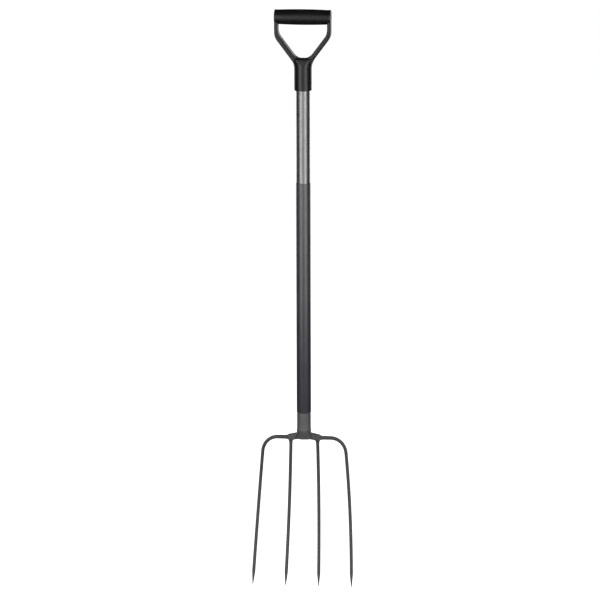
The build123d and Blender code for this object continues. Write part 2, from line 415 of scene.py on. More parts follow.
def make_neck():
    """The neck tube: a shallow groove under the shaft, a rolled step, and the hidden spigot."""
    groove = neck_radius - neck_groove_depth
    step_top = shaft_foot - neck_groove_height
    step_foot = step_top - neck_step_rise
    bore = spigot_radius - spigot_wall
    outline = [
        (bore, neck_foot),
        (neck_radius, neck_foot),
        (neck_radius, step_foot - hold_ring),
    ]
    outline += quarter_round(groove, step_foot, neck_groove_depth, 0)
    outline += [
        (groove, step_top),
        (groove, shaft_foot),
        (spigot_radius, shaft_foot),
        (spigot_radius, spigot_top - shaft_wall),
        (spigot_radius - shaft_wall, spigot_top),
        (bore, spigot_top),
    ]
    neck = turning("neck_tube_rolled", outline)
    shade_by_angle(neck)
    return neck


# ---------------------------------------------------------------- tines

def set_back(height):
    """How far behind the shaft's axis a tine is: it leans back at first, then curves forward."""
    fall = bar_height - height
    return yoke_set_back + tine_lean * fall - fall ** 2 / (2 * tine_curve_radius)


def inner_half(height):
    share = (plate_foot - height) / (plate_foot - tine_tip)
    return inner_root + (inner_tip - inner_root) * share


def outer_half(height):
    top = bar_height - outer_bend_radius
    share = (top - height) / (top - tine_tip)
    return outer_root + (outer_tip - outer_root) * share + 4 * outer_bow * share * (1 - share)


def tine_point(half_spacing, height):
    return Vector((half_spacing(height), set_back(height), height))


def shank_points(half_spacing, top, steps):
    drop = (top - shank_end) / steps
    return [tine_point(half_spacing, top - drop * step) for step in range(steps + 1)]


def shank_places(points, even_share, swell):
    """Rings square to the route: a swelling at the root, then even to even_share, then slimmer."""
    last = len(points) - 1
    places = []
    for spot, point in enumerate(points):
        way = (points[min(spot + 1, last)] - points[max(spot - 1, 0)]).normalized()
        slimmer = max(0, (spot / last - even_share) / (1 - even_share))
        root = max(0, 1 - (point - points[0]).length / root_swell_length)
        radius = tine_radius + swell * root + (tine_end_radius - tine_radius) * slimmer
        places.append((point, way, radius))
    return places


def point_places(last_place, steps=10):
    """The drawn-out point: it thins slowly, then faster, and ends in a small round nose."""
    start, way, radius = last_place
    straight = tine_point_length - tine_tip_radius
    places = []
    for step in range(1, steps + 1):
        share = step / steps
        thin = radius + (tine_tip_radius - radius) * share ** point_power
        places.append((start + way * straight * share, way, thin))
    nose = places[-1][0]
    for angle in nose_angles:
        turn = math.radians(angle)
        reach = tine_tip_radius * math.sin(turn)
        places.append((nose + way * reach, way, tine_tip_radius * math.cos(turn)))
    return places


def forge_skin(piece):
    """The slight unevenness that forging leaves in a round bar."""
    hammering = bpy.data.textures.new(piece.name, "CLOUDS")
    hammering.noise_scale = hammer_spacing
    apply_modifier(piece, "DISPLACE", texture=hammering, texture_coords="GLOBAL", strength=hammer_depth,
                   mid_level=0.5)
    bpy.data.textures.remove(hammering)


def make_tine(name, points, even_share, swell):
    places = shank_places(points, even_share, swell)
    tine = round_bar(name, places + point_places(places[-1]), sides=bar_sides)
    forge_skin(tine)
    shade_by_angle(tine)
    return tine


def make_inner_tine():
    root = plate_foot + tine_radius
    points = shank_points(inner_half, root, inner_steps)
    return make_tine("inner_tine_forged_right", points, inner_even_share, 0)


def make_outer_tine():
    """The bar leaves the yoke sideways, bends down and becomes the tine."""
    bend_foot = bar_height - outer_bend_radius
    shank = shank_points(outer_half, bend_foot, outer_steps)
    shoulder = Vector((outer_root - outer_bend_radius, yoke_set_back, bar_height))
    down = (shank[1] - shank[0]).normalized()
    pull = outer_bend_radius * arc_pull
    bend = interpolate_bezier(shoulder, shoulder + RIGHT * pull, shank[0] - down * pull, shank[0],
                              bend_steps)
    start = Vector((plate_half - tine_radius, yoke_set_back, bar_height))
    bar = [start.lerp(shoulder, step / bar_steps) for step in range(bar_steps)]
    route = bar + list(bend[:-1]) + shank
    return make_tine("outer_tine_forged_right", route, outer_even_share, bar_root_swell)


# ---------------------------------------------------------------- yoke

def plate_top(side):
    """The yoke's upper line: level under the neck, then falling to its ends."""
    share = max(0, (side - neck_radius) / (plate_half - neck_radius))
    return neck_foot - yoke_top_drop - (yoke_end_drop - yoke_top_drop) * share


def plate_bottom(side):
    """The yoke's lower line: an arch, level feet over the inner tines, then the lobes' slopes."""
    arch_half = inner_root - tine_radius
    lobe_start = inner_root + tine_radius
    if side < arch_half:
        share = side / arch_half
        return neck_foot - yoke_arch_drop - (yoke_foot_drop - yoke_arch_drop) * share ** yoke_arch_power
    return plate_foot + max(0, side - lobe_start)


def make_plate():
    """The yoke's plate, pulled across from the left end to the right end."""
    middle = yoke_set_back
    heights = []
    for step in range(plate_steps + 1):
        side = -plate_half + 2 * plate_half * step / plate_steps
        heights.append((side, plate_top(abs(side)), plate_bottom(abs(side))))
    side, top, bottom = heights[0]
    deselect_all()
    bpy.ops.mesh.primitive_plane_add(size=1, location=(side, middle, (top + bottom) / 2),
                                     rotation=(0, math.pi / 2, 0))
    plate = bpy.context.active_object
    plate.scale = (top - bottom, yoke_thickness, 1)
    settle("yoke_plate")
    edit(plate)
    for next_side, next_top, next_bottom in heights[1:]:
        rise = (next_top + next_bottom - top - bottom) / 2
        bpy.ops.mesh.extrude_region_move(TRANSFORM_OT_translate={"value": (next_side - side, 0, rise)})
        share = (next_top - next_bottom) / (top - bottom)
        centre = (next_side, middle, (next_top + next_bottom) / 2)
        bpy.ops.transform.resize(value=(1, 1, share), center_override=centre)
        side, top, bottom = next_side, next_top, next_bottom
    leave_edit()
    apply_modifier(plate, "BEVEL", width=yoke_edge, segments=3, limit_method="ANGLE",
                   angle_limit=soft_corner)
    return plate


def make_boss():
    """The forged root under the neck: round at the top, shallower where it runs into the plate."""
    steps = 8
    foot_deep = (boss_reach + boss_back) / 2
    foot_back = (boss_back - boss_reach) / 2
    boss = start_ring("yoke_boss", (UP * neck_foot, UP, neck_radius), boss_sides, "NGON")
    edit(boss)
    across, deep, back = neck_radius, neck_radius, 0
    for step in range(1, steps + 1):
        share = step / steps
        ease = share * share * (3 - 2 * share)
        next_across = neck_radius + boss_spread * ease
        next_deep = neck_radius + (foot_deep - neck_radius) * ease
        next_back = foot_back * ease
        shift = (0, next_back - back, -boss_height / steps)
        bpy.ops.mesh.extrude_region_move(TRANSFORM_OT_translate={"value": shift})
        growth = (next_across / across, next_deep / deep, 1)
        centre = (0, next_back, neck_foot - boss_height * share)
        bpy.ops.transform.resize(value=growth, center_override=centre)
        across, deep, back = next_across, next_deep, next_back
    leave_edit()
    apply_modifier(boss, "BEVEL", width=boss_edge, segments=3, limit_method="ANGLE",
                   angle_limit=soft_corner)
    return boss


def make_flare(name, root, way, bar_radius):
    """A root that widens from the tine's bar into the plate. Its narrow end is at root."""
    steps = 6
    places = []
    for step in range(steps + 1):
        share = step / steps
        growth = (flare_end_radius - bar_radius) * share ** flare_power
        places.append((root + way * flare_length * share, way, bar_radius + flare_lip + growth))
    return round_bar(name, places, sides=bar_sides)


def inner_root_point():
    return tine_point(inner_half, collar_low.z + collar_height)


def outer_root_point():
    return Vector((collar_high.x - collar_height, yoke_set_back, bar_height))


def make_yoke():
    pieces = [make_plate(), make_boss()]
    inner_flare = make_flare("inner_flare", inner_root_point(), UP, tine_radius)
    outer_flare = make_flare("outer_flare", outer_root_point(), -RIGHT, bar_root_radius)
    for flare in (inner_flare, outer_flare):
        pieces += [flare, mirrored_copy(flare, flare.name + "_left")]
    yoke = join("shoulder_yoke_forged", pieces)
    fuse(yoke, yoke_grain, yoke_softening)
    forge_skin(yoke)
    return yoke


# ---------------------------------------------------------------- welds

def weld_bead(name, centre, way, radius, drop_radius, drops):
    """A chain of overlapping drops round a bar, run together into one rippled bead."""
    side = way.orthogonal().normalized()
    deselect_all()
    bpy.ops.mesh.primitive_uv_sphere_add(segments=12, ring_count=8, radius=drop_radius,
                                         location=centre + side * (radius - drop_sink * drop_radius))
    bead = settle(name)
    edit(bead)
    bpy.ops.mesh.spin(steps=drops - 1, dupli=True, angle=2 * math.pi * (drops - 1) / drops,
                      center=centre, axis=way)
    leave_edit()
    return bead


def make_neck_bead():
    bead = weld_bead("neck_weld_bead", UP * neck_foot, UP, neck_radius, bead_radius, neck_drops)
    fuse(bead, neck_bead_grain, neck_bead_softening)
    return bead


def make_tine_beads():
    right = [
        weld_bead("inner_bead", inner_root_point(), UP, tine_radius, tine_drop, inner_drops),
        weld_bead("outer_bead", outer_root_point(), RIGHT, bar_root_radius, tine_drop, outer_drops),
    ]
    left = [mirrored_copy(bead, bead.name + "_left") for bead in right]
    beads = join("tine_weld_beads", right + left)
    fuse(beads, tine_bead_grain, tine_bead_softening)
    return beads


# ---------------------------------------------------------------- handle

def shoulder_half(height):
    """Half the socket's width: even, then spreading into the arms."""
    rise = max(0, height - (shaft_top - shoulder_start_drop))
    return socket_radius + shoulder_growth * rise ** 2


def make_socket():
    """The round socket spreads at its top, and a sloping flat is cut on its front and its back."""
    top = shaft_top + shoulder_end_rise
    start = shaft_top - shoulder_start_drop
    lip = quarter_round(socket_radius - socket_lip, socket_mouth + socket_lip, socket_lip, -90)
    places = [(UP * height, UP, radius) for radius, height in lip]
    places += [(UP * height, UP, socket_radius) for height in (socket_mouth + 3 * socket_lip, start)]
    socket = start_ring("handle_socket", places[0], fine_sides, "NGON")
    edit(socket)
    pull_ring(places)
    steps = 8
    height, across = start, socket_radius
    for step in range(1, steps + 1):
        next_height = start + (top - start) * step / steps
        next_across = shoulder_half(next_height)
        shift = (0, 0, next_height - height)
        bpy.ops.mesh.extrude_region_move(TRANSFORM_OT_translate={"value": shift})
        bpy.ops.transform.resize(value=(next_across / across, 1, 1),
                                 center_override=(0, 0, next_height))
        height, across = next_height, next_across
    leave_edit()
    cut_flats(socket)
    return socket


def cut_flats(socket):
    """Cuts the sloping flats that run out in a point on the round of the socket."""
    flat_start = shaft_top - flat_start_drop
    flat_end = shaft_top + flat_end_rise
    fall_back = socket_radius - arm_depth / 2
    for side in (-1, 1):
        edit(socket)
        along = Vector((0, -side * fall_back, flat_end - flat_start))
        outward = along.cross(RIGHT) * side
        bpy.ops.mesh.bisect(plane_co=(0, side * socket_radius, flat_start), plane_no=outward,
                            use_fill=True, clear_outer=True)
        leave_edit()


def arms_outline():
    """The two arms seen from the front, from the right foot round to the left foot."""
    inner_side = handle_half - arm_top_thickness
    crotch = shaft_top + crotch_rise
    inner_vertex = crotch - crotch_radius * (1 / arm_lean - 1)
    outer_vertex = inner_vertex - arm_thickness / arm_lean
    foot = shaft_top + arm_foot_rise
    foot_half = (foot - outer_vertex) * arm_slope
    outer = rounded_line([
        Vector((foot_half, 0, foot)),
        Vector((handle_half, 0, outer_vertex + handle_half / arm_slope)),
        Vector((handle_half, 0, grip_axis)),
    ], [arm_outer_bend])
    elbow = inner_vertex + inner_side / arm_slope
    inner = rounded_line([
        Vector((inner_side, 0, grip_axis)),
        Vector((inner_side, 0, elbow)),
        Vector((0, 0, inner_vertex)),
        Vector((-inner_side, 0, elbow)),
        Vector((-inner_side, 0, grip_axis)),
    ], [arm_inner_bend, crotch_radius, arm_inner_bend])
    left = [Vector((-point.x, 0, point.z)) for point in reversed(outer)]
    return outer + inner + left


def make_arms():
    """The outline is drawn point by point, filled, and pulled to its depth."""
    outline = arms_outline()
    deselect_all()
    bpy.ops.mesh.primitive_plane_add(size=mm, location=outline[0])
    arms = settle("handle_arms")
    edit(arms)
    bpy.ops.mesh.merge(type="CENTER")
    for before, point in zip(outline, outline[1:] + outline[:1]):
        bpy.ops.mesh.extrude_region_move(TRANSFORM_OT_translate={"value": point - before})
    bpy.ops.mesh.select_all(action="SELECT")
    bpy.ops.mesh.remove_doubles(threshold=corner_gap)
    bpy.ops.mesh.edge_face_add()
    bpy.ops.transform.translate(value=-BACK * arm_depth / 2)
    bpy.ops.mesh.extrude_region_move(TRANSFORM_OT_translate={"value": BACK * arm_depth})
    leave_edit()
    apply_modifier(arms, "BEVEL", width=arm_edge, segments=3, limit_method="ANGLE",
                   angle_limit=arm_corner)
    return arms


def across_places(outline):
    """Places along +X on the grip's axis, from (radius, side) pairs."""
    return [(Vector((side, 0, grip_axis)), RIGHT, radius) for radius, side in outline]


def make_cheek():
    """The round end of the right arm, which covers the grip's end."""
    outline = [(cheek_radius, grip_half), (cheek_radius, handle_half - cheek_edge - hold_ring)]
    outline += quarter_round(cheek_radius - cheek_edge, handle_half - cheek_edge, cheek_edge, 0)
    return round_bar("handle_cheek_right", across_places(outline), sides=fine_sides)


def barrel_radius(side):
    """The grip is fattest in the middle."""
    return grip_radius - (grip_radius - grip_end_radius) * (side / grip_half) ** 2


def make_grip():
    steps = 24
    reach = grip_half - grip_edge
    sides = [-reach + 2 * reach * step / steps for step in range(steps + 1)]
    end = barrel_radius(reach) - grip_edge
    left_edge = [(radius, side) for radius, side in quarter_round(end, -reach, grip_edge, -90)]
    right_edge = [(radius, side) for radius, side in quarter_round(end, reach, grip_edge, 0)]
    outline = left_edge[:-1] + [(barrel_radius(side), side) for side in sides] + right_edge[1:]
    grip = round_bar("handle_grip_moulded", across_places(outline), sides=fine_sides)
    shade_by_angle(grip)
    return grip


def grip_hollow():
    outline = [(grip_end_radius + fit, -grip_half - fit), (grip_radius + fit, 0),
               (grip_end_radius + fit, grip_half + fit)]
    return round_bar("grip_hollow", across_places(outline), sides=fine_sides)


def bar_along(name, way, centre, radius, start, end):
    """A plain round tool for cutting."""
    return round_bar(name, [(centre + way * start, way, radius), (centre + way * end, way, radius)],
                     cutter_sides)


def make_handle():
    handle = make_arms()
    cheek = make_cheek()
    other_cheek = mirrored_copy(cheek, "handle_cheek_left")
    for part in (make_socket(), cheek, other_cheek):
        weld_to(handle, part)
    cut(handle, grip_hollow())
    bore_mouth = round_bar("socket_bore", [
        (UP * (socket_mouth - mm), UP, socket_bore + mouth_flare),
        (UP * (socket_mouth + mouth_depth), UP, socket_bore),
        (UP * shaft_top, UP, socket_bore),
    ], sides=fine_sides)
    cut(handle, bore_mouth)
    seat = bar_along("screw_seat", BACK, UP * screw_axis, screw_head_radius + fit,
                     socket_radius - screw_seat, socket_radius + screw_seat)
    cut(handle, seat)
    fuse(handle, handle_grain, handle_softening)
    call(handle, "handle_body_moulded")
    return handle


# ---------------------------------------------------------------- node building

def place(tree, kind, inputs=None, **settings):
    """Adds a node. Its inputs are given values or other nodes' outputs."""
    node = tree.nodes.new(kind)
    for setting, value in settings.items():
        setattr(node, setting, value)
    for socket, value in (inputs or {}).items():
        if isinstance(value, bpy.types.NodeSocket):
            tree.links.new(value, node.inputs[socket])
        else:
            node.inputs[socket].default_value = value
    return node


def maths(tree, operation, first, second):
    node = place(tree, "ShaderNodeMath", {0: first, 1: second}, operation=operation)
    return node.outputs[0]


def ramp(tree, value, low, high, to_low=0.0, to_high=1.0):
    """Takes low..high smoothly to to_low..to_high."""
    node = place(tree, "ShaderNodeMapRange", {"Value": value, "From Min": low, "From Max": high,
                                              "To Min": to_low, "To Max": to_high},
                 interpolation_type="SMOOTHSTEP")
    return node.outputs["Result"]


def mix_colours(tree, share, first, second):
    node = place(tree, "ShaderNodeMix", {0: share, 6: first, 7: second}, data_type="RGBA")
    return node.outputs[2]


def grey(level, blue=1.0):
    return (level, level, level * blue, 1.0)


def new_group(name, inputs, outputs):
    """An empty node group. Each input is a name, a socket kind and its usual value."""
    group = bpy.data.node_groups.new(name, "ShaderNodeTree")
    for title, kind, value in inputs:
        group.interface.new_socket(title, in_out="INPUT", socket_type=kind).default_value = value
    for title in outputs:
        group.interface.new_socket(title, in_out="OUTPUT", socket_type="NodeSocketFloat")
    entry = group.nodes.new("NodeGroupInput")
    way_out = group.nodes.new("NodeGroupOutput")
    return group, entry.outputs, way_out.inputs


def make_grain_group():
    """Fine grain at one scale, which can be drawn out along an axis, with a slow mottle under it."""
    group, given, result = new_group("surface_grain", [
        ("Scale", "NodeSocketFloat", 900.0),
        ("Stretch", "NodeSocketVector", (1.0, 1.0, 1.0)),
        ("Mottle Scale", "NodeSocketFloat", 40.0),
    ], ["Height", "Mottle"])
    place_of = place(group, "ShaderNodeTexCoord").outputs["Object"]
    drawn = place(group, "ShaderNodeVectorMath", {0: place_of, 1: given["Stretch"]},
                  operation="MULTIPLY").outputs[0]
    grain = place(group, "ShaderNodeTexNoise", {"Vector": drawn, "Scale": given["Scale"],
                                                "Detail": 3.0, "Roughness": 0.55})
    mottle = place(group, "ShaderNodeTexNoise", {"Vector": place_of, "Scale": given["Mottle Scale"],
                                                 "Detail": 4.0, "Roughness": 0.6})
    group.links.new(grain.outputs["Fac"], result["Height"])
    group.links.new(mottle.outputs["Fac"], result["Mottle"])
    return group


def make_wear_group():
    """Where edges stand out and are rubbed: a mask broken up by noise."""
    group, given, result = new_group("edge_wear", [
        ("Start", "NodeSocketFloat", 0.53),
        ("Full", "NodeSocketFloat", 0.62),
        ("Break Up", "NodeSocketFloat", 350.0),
    ], ["Mask"])
    place_of = place(group, "ShaderNodeTexCoord").outputs["Object"]
    sharp = place(group, "ShaderNodeNewGeometry").outputs["Pointiness"]
    noise = place(group, "ShaderNodeTexNoise", {"Vector": place_of, "Scale": given["Break Up"],
                                                "Detail": 5.0, "Roughness": 0.65}).outputs["Fac"]
    swing = 0.12
    uneven = place(group, "ShaderNodeMath", {0: noise, 1: swing, 2: -swing / 2},
                   operation="MULTIPLY_ADD").outputs[0]
    edge = maths(group, "ADD", sharp, uneven)
    mask = place(group, "ShaderNodeMapRange", {"Value": edge, "From Min": given["Start"],
                                               "From Max": given["Full"]},
                 interpolation_type="SMOOTHSTEP").outputs["Result"]
    group.links.new(mask, result["Mask"])
    return group


def make_scuff_group():
    """Fine scuffs and hairline scratches from handling, mostly lengthwise."""
    group, given, result = new_group("handling_scuffs", [
        ("Scale", "NodeSocketFloat", 260.0),
        ("Amount", "NodeSocketFloat", 0.5),
    ], ["Mask"])
    place_of = place(group, "ShaderNodeTexCoord").outputs["Object"]
    bend = place(group, "ShaderNodeTexNoise", {"Vector": place_of, "Scale": 30.0, "Detail": 1.0})
    bent = place(group, "ShaderNodeVectorMath", {0: bend.outputs["Color"], 1: place_of, 2: place_of},
                 operation="MULTIPLY_ADD").outputs[0]
    drawn = place(group, "ShaderNodeVectorMath", {0: bent, 1: (1.0, 1.0, 0.09)},
                  operation="MULTIPLY").outputs[0]
    lines = place(group, "ShaderNodeTexNoise", {"Vector": drawn, "Scale": given["Scale"],
                                                "Detail": 6.0, "Roughness": 0.7}).outputs["Fac"]
    patches = place(group, "ShaderNodeTexNoise", {"Vector": place_of, "Scale": 55.0,
                                                  "Detail": 2.0}).outputs["Fac"]
    thin = ramp(group, lines, 0.62, 0.72)
    where = ramp(group, patches, 0.48, 0.68)
    both = maths(group, "MULTIPLY", thin, where)
    group.links.new(maths(group, "MULTIPLY", both, given["Amount"]), result["Mask"])
    return group


grain_group = make_grain_group()
wear_group = make_wear_group()
scuff_group = make_scuff_group()


def use_group(tree, group, **values):
    """Places a shared group with its own values. An underscore in a name stands for a space."""
    node = tree.nodes.new("ShaderNodeGroup")
    node.node_tree = group
    for title, value in values.items():
        node.inputs[title.replace("_", " ")].default_value = value
    return node.outputs


def new_material(name, **constants):
    """A material with its plain constants set straight on the shader."""
    material = bpy.data.materials.new(name)
    material.use_nodes = True
    shader = material.node_tree.nodes["Principled BSDF"]
    for socket, value in constants.items():
        shader.inputs[socket.replace("_", " ")].default_value = value
    return material, material.node_tree, shader.inputs


def bump(tree, height, distance, strength=0.5, under=None):
    inputs = {"Height": height, "Distance": distance, "Strength": strength}
    if under is not None:
        inputs["Normal"] = under
    return place(tree, "ShaderNodeBump", inputs).outputs["Normal"]


# ---------------------------------------------------------------- finishes

# The part of its range that most of a noise lies in
noise_spread = (0.3, 0.7)
wide_spread = (0.25, 0.75)

# Roughness of each finish, from its smoothest spots to its roughest
paint_rough = (0.40, 0.52)
shaft_rough = (0.37, 0.44)
sleeve_rough = (0.29, 0.35)
handle_rough = (0.30, 0.40)
grip_rough = (0.38, 0.50)
pin_rough = (0.30, 0.42)
screw_rough = (0.28, 0.40)
paper_rough = (0.80, 0.95)

# Brightness of each finish: the two shades of its mottle, then where it is rubbed or scuffed
paint_dark, paint_pale, paint_fleck, paint_rubbed = 0.092, 0.114, 0.15, 0.21
shaft_dark, shaft_pale, shaft_scuffed = 0.27, 0.35, 0.45
sleeve_dark, sleeve_pale, sleeve_scuffed = 0.030, 0.038, 0.13
handle_dark, handle_pale, handle_rubbed = 0.007, 0.011, 0.06
grip_dark, grip_pale, grip_scuffed = 0.003, 0.005, 0.04
pin_level, screw_level, plate_worn = 0.42, 0.5, 0.8
paper_dark, paper_pale, paper_in_reflections = 0.80, 0.84, 0.13
# One grey paint in three brightnesses: darker on the tines as painted shade, brighter on the neck as
# painted light, and the yoke close to the paint's own grey
tine_painted_shade_level, yoke_painted_light_level, neck_painted_light_level = 0.7, 0.96, 1.28

# How much of the worn edges shows, and what rubbing takes from or adds to the roughness
paint_wear, paint_polish = 0.55, 0.12
handle_wear, handle_polish = 0.4, 0.08
shaft_dulling = 0.1

# Height of the finest relief of each finish
paint_speck, paint_peel = 0.012 * mm, 0.035 * mm
shaft_hair, shaft_line = 0.01 * mm, 0.03 * mm
sleeve_pore, sleeve_flow = 0.015 * mm, 0.06 * mm
handle_spark = 0.05 * mm
grip_pebble = 0.06 * mm
plate_grain = 0.02 * mm


def make_head_paint(name, painted_light_level):
    """Satin grey paint with a faint orange peel and pale flecks, rubbed on edges and scuffed. Every
    grey is scaled by the given level, which paints light or shade into the part's colour.
    """
    material, tree, shader = new_material(name, IOR=1.5)
    peel = use_group(tree, grain_group, Scale=420.0, Mottle_Scale=28.0)
    speck = use_group(tree, grain_group, Scale=2600.0, Mottle_Scale=160.0)
    wear = use_group(tree, wear_group, Start=0.55, Full=0.66, Break_Up=500.0)["Mask"]
    scuff = use_group(tree, scuff_group, Scale=300.0, Amount=0.35)["Mask"]
    shade = ramp(tree, peel["Mottle"], *noise_spread)
    paint = mix_colours(tree, shade, grey(paint_dark * painted_light_level), grey(paint_pale * painted_light_level))
    flecks = ramp(tree, speck["Height"], 0.62, 0.75, 0.0, 0.35)
    flecked = mix_colours(tree, flecks, paint, grey(paint_fleck * painted_light_level))
    rubbed = maths(tree, "MAXIMUM", maths(tree, "MULTIPLY", wear, paint_wear), scuff)
    colour = mix_colours(tree, rubbed, flecked, grey(paint_rubbed * painted_light_level))
    tree.links.new(colour, shader["Base Color"])
    rough = ramp(tree, peel["Mottle"], *wide_spread, *paint_rough)
    tree.links.new(maths(tree, "SUBTRACT", rough, maths(tree, "MULTIPLY", rubbed, paint_polish)),
                   shader["Roughness"])
    fine = bump(tree, speck["Height"], paint_speck)
    tree.links.new(bump(tree, peel["Height"], paint_peel, strength=0.6, under=fine), shader["Normal"])
    return material


def make_shaft_steel():
    """A bright drawn tube: fine lines along it, and a faint cloudiness."""
    material, tree, shader = new_material("shaft_steel_drawn", Metallic=1.0)
    lines = use_group(tree, grain_group, Scale=1500.0, Stretch=(1.0, 1.0, 0.012), Mottle_Scale=22.0)
    hairs = use_group(tree, grain_group, Scale=5200.0, Stretch=(1.0, 1.0, 0.03), Mottle_Scale=90.0)
    scuff = use_group(tree, scuff_group, Scale=420.0, Amount=0.6)["Mask"]
    bands = ramp(tree, lines["Height"], *noise_spread)
    steel = mix_colours(tree, bands, grey(shaft_dark), grey(shaft_pale))
    colour = mix_colours(tree, scuff, steel, grey(shaft_scuffed))
    tree.links.new(colour, shader["Base Color"])
    rough = ramp(tree, hairs["Mottle"], *noise_spread, *shaft_rough)
    dulled = maths(tree, "ADD", rough, maths(tree, "MULTIPLY", scuff, shaft_dulling))
    tree.links.new(dulled, shader["Roughness"])
    fine = bump(tree, hairs["Height"], shaft_hair)
    tree.links.new(bump(tree, lines["Height"], shaft_line, under=fine), shader["Normal"])
    return material


def make_sleeve_plastic():
    """Blue-grey shrunk plastic: a soft sheen, faint lengthwise flow and a few scuffs."""
    material, tree, shader = new_material("sleeve_plastic_blue_grey", IOR=1.55, Anisotropic=0.8,
                                          Specular_IOR_Level=1.0)
    around = place(tree, "ShaderNodeTangent", direction_type="RADIAL", axis="Z").outputs["Tangent"]
    tree.links.new(around, shader["Tangent"])
    flow = use_group(tree, grain_group, Scale=1400.0, Stretch=(1.0, 1.0, 0.02), Mottle_Scale=16.0)
    pores = use_group(tree, grain_group, Scale=3000.0, Mottle_Scale=120.0)
    scuff = use_group(tree, scuff_group, Scale=280.0, Amount=0.4)["Mask"]
    shade = ramp(tree, flow["Mottle"], *noise_spread)
    plastic = mix_colours(tree, shade, grey(sleeve_dark, 1.30), grey(sleeve_pale, 1.28))
    colour = mix_colours(tree, scuff, plastic, grey(sleeve_scuffed, 1.1))
    tree.links.new(colour, shader["Base Color"])
    rough = ramp(tree, pores["Mottle"], *noise_spread, *sleeve_rough)
    tree.links.new(rough, shader["Roughness"])
    fine = bump(tree, pores["Height"], sleeve_pore)
    tree.links.new(bump(tree, flow["Height"], sleeve_flow, under=fine), shader["Normal"])
    return material


def make_handle_plastic():
    """Dark moulded plastic with a fine spark texture, a little paler where hands rub the edges."""
    material, tree, shader = new_material("handle_plastic_dark", IOR=1.5)
    spark = use_group(tree, grain_group, Scale=1700.0, Mottle_Scale=45.0)
    wear = use_group(tree, wear_group, Start=0.54, Full=0.68, Break_Up=260.0)["Mask"]
    scuff = use_group(tree, scuff_group, Scale=240.0, Amount=0.5)["Mask"]
    shade = ramp(tree, spark["Mottle"], *noise_spread)
    plastic = mix_colours(tree, shade, grey(handle_dark), grey(handle_pale))
    rubbed = maths(tree, "MAXIMUM", maths(tree, "MULTIPLY", wear, handle_wear), scuff)
    colour = mix_colours(tree, rubbed, plastic, grey(handle_rubbed))
    tree.links.new(colour, shader["Base Color"])
    rough = ramp(tree, spark["Height"], *noise_spread, *handle_rough)
    tree.links.new(maths(tree, "SUBTRACT", rough, maths(tree, "MULTIPLY", wear, handle_polish)),
                   shader["Roughness"])
    tree.links.new(bump(tree, spark["Height"], handle_spark, strength=0.55), shader["Normal"])
    return material


def make_grip_rubber():
    """Near-black soft moulding with a fine pebbled skin, polished a little by the palm."""
    material, tree, shader = new_material("grip_rubber_black", IOR=1.5)
    pebble = use_group(tree, grain_group, Scale=1100.0, Mottle_Scale=60.0)
    scuff = use_group(tree, scuff_group, Scale=200.0, Amount=0.4)["Mask"]
    shade = ramp(tree, pebble["Mottle"], *noise_spread)
    rubber = mix_colours(tree, shade, grey(grip_dark), grey(grip_pale))
    tree.links.new(mix_colours(tree, scuff, rubber, grey(grip_scuffed)), shader["Base Color"])
    rough = ramp(tree, pebble["Mottle"], *wide_spread, *grip_rough)
    tree.links.new(rough, shader["Roughness"])
    tree.links.new(bump(tree, pebble["Height"], grip_pebble), shader["Normal"])
    return material


def make_plated_steel(name, level, rough_range):
    """Small steel parts: turned or plated, with a fine grain and worn edges."""
    material, tree, shader = new_material(name, Metallic=1.0)
    grain = use_group(tree, grain_group, Scale=2400.0, Mottle_Scale=300.0)
    wear = use_group(tree, wear_group, Start=0.56, Full=0.7, Break_Up=900.0)["Mask"]
    shade = ramp(tree, grain["Mottle"], *noise_spread)
    plate = mix_colours(tree, shade, grey(level), grey(level * 1.25, 0.98))
    tree.links.new(mix_colours(tree, wear, plate, grey(plate_worn)), shader["Base Color"])
    tree.links.new(ramp(tree, grain["Mottle"], *noise_spread, *rough_range), shader["Roughness"])
    tree.links.new(bump(tree, grain["Height"], plate_grain), shader["Normal"])
    return material


# ---------------------------------------------------------------- camera, floor and lights

view_azimuth = math.radians(6.3)
view_elevation = math.radians(13)
view_roll = math.radians(-0.18)
view_distance = 7.0
view_lens = 192.8
view_sensor = 36
view_reach = 100
aim_left = 7.8 * mm
aim_drop = 4 * mm

# Lights: turns in degrees from the camera's side, lengths in metres
key_turn, key_width = 38, 1.35
back_turn, back_width = 148, 1.3
box_distance, box_height = 2.5, 2.2
screen_distance, screen_width, screen_height = 3.2, 2.6, 3.2
top_height, top_size = 3.0, 1.2
left_glow, right_glow, screen_glow = 3.0, 3.1, 0.7
back_glow, top_glow, room_glow = 1.7, 0.1, 0.03

floor_size = 160
floor_gap = 0.5 * mm


def make_camera():
    right = Vector((math.cos(view_azimuth), math.sin(view_azimuth), 0))
    level = Vector((math.sin(view_azimuth), -math.cos(view_azimuth), 0))
    to_camera = level * math.cos(view_elevation) + UP * math.sin(view_elevation)
    aim = -right * aim_left - UP * aim_drop
    deselect_all()
    bpy.ops.object.camera_add(location=aim + to_camera * view_distance)
    camera = bpy.context.active_object
    camera.name = "camera"
    camera.data.lens = view_lens
    camera.data.sensor_width = view_sensor
    camera.data.clip_end = view_reach
    camera.rotation_mode = "QUATERNION"
    upright = (-to_camera).to_track_quat("-Z", "Y")
    camera.rotation_quaternion = upright @ Quaternion((0, 0, 1), view_roll)
    bpy.context.scene.camera = camera


def soft_box(name, azimuth, distance, width, height, glow):
    """A tall soft light that stands on the floor and faces the fork. Azimuth 0 is the front."""
    turn = math.radians(azimuth)
    away = Vector((math.sin(turn), -math.cos(turn), 0))
    deselect_all()
    bpy.ops.object.light_add(type="AREA", location=away * distance + UP * (cad_low.z + height / 2))
    light = bpy.context.active_object
    light.name = name
    light.rotation_euler = away.to_track_quat("Z", "Y").to_euler()
    light.data.shape = "RECTANGLE"
    light.data.size = width
    light.data.size_y = height
    light.data.energy = glow * math.pi * width * height
    light.visible_camera = False


